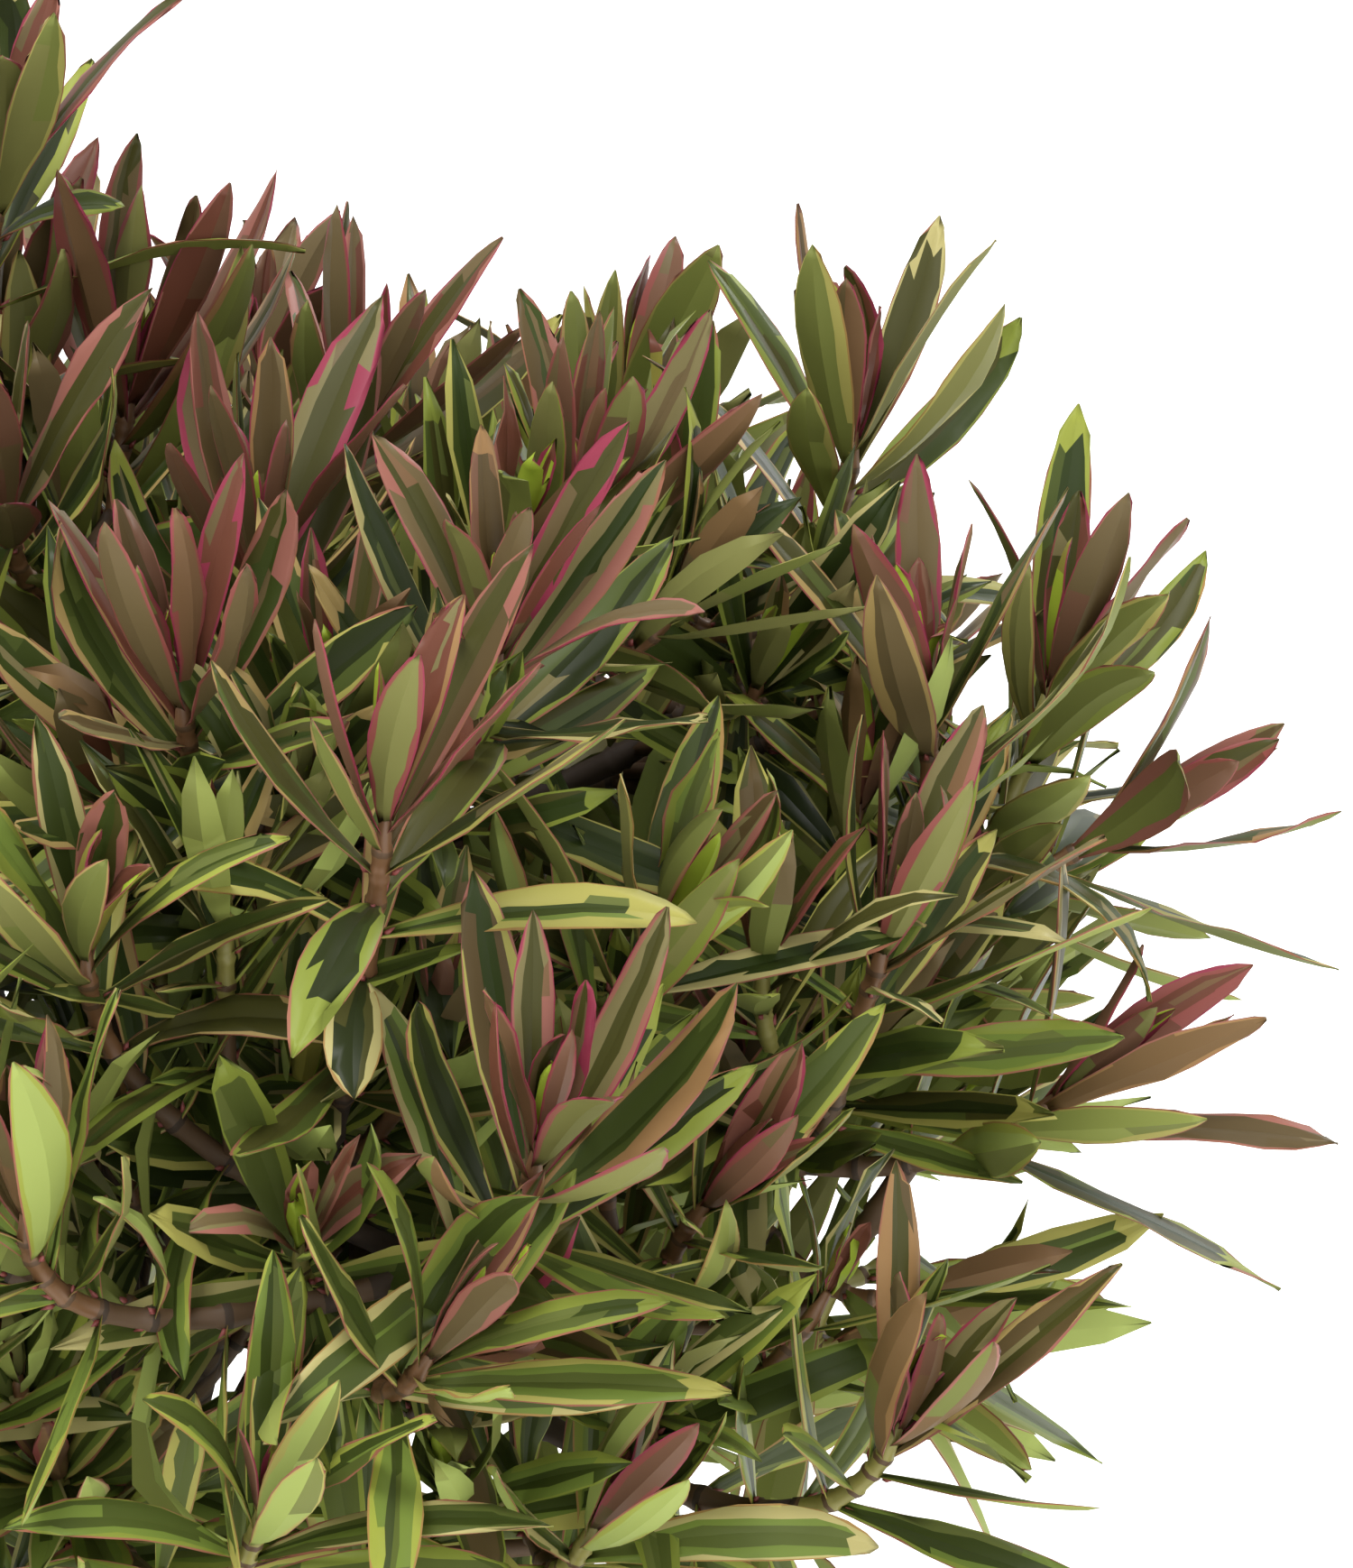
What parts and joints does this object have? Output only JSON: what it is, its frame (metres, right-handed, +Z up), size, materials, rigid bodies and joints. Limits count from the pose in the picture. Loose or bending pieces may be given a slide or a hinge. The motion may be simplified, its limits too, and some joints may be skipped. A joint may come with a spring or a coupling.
{
  "type": "hebe shrub",
  "caption": "Rounded evergreen shrub with narrow variegated leaves in crossed pairs, burgundy young shoots and a short rooted stem.",
  "frame": {"origin": "middle of the flat cut under the main stem, at ground level", "axes": "+Z up, -Y towards the side that the picture shows, +X to the right in it"},
  "size_m": [0.381, 0.3824, 0.2878],
  "materials": {
    "bark": "rough grey brown bark with fine lengthwise cracks",
    "young_bark": "smooth reddish brown bark with leaf scars in pairs",
    "foliage": "satin dark green leaves with yellow green margins, burgundy and pink when young"
  },
  "bodies": {
    "root": {"main_stem": "bark", "leader": "young_bark", "upper_bough_1": "young_bark", "upper_bough_2": "young_bark", "upper_bough_3": "young_bark", "upper_bough_4": "young_bark", "upper_bough_5": "young_bark", "middle_bough_1": "young_bark", "middle_bough_2": "young_bark", "middle_bough_3": "young_bark", "middle_bough_4": "young_bark", "middle_bough_5": "young_bark", "middle_bough_6": "young_bark", "low_bough_1": "young_bark", "low_bough_2": "young_bark", "low_bough_3": "young_bark", "low_bough_4": "young_bark", "low_bough_5": "young_bark", "low_bough_6": "young_bark", "top_foliage": "foliage", "upper_foliage_1": "foliage", "upper_foliage_2": "foliage", "upper_foliage_3": "foliage", "upper_foliage_4": "foliage", "upper_foliage_5": "foliage", "middle_foliage_1": "foliage", "middle_foliage_2": "foliage", "middle_foliage_3": "foliage", "middle_foliage_4": "foliage", "middle_foliage_5": "foliage", "middle_foliage_6": "foliage", "low_foliage_1": "foliage", "low_foliage_2": "foliage", "low_foliage_3": "foliage", "low_foliage_4": "foliage", "low_foliage_5": "foliage", "low_foliage_6": "foliage"}
  },
  "joints": []
}
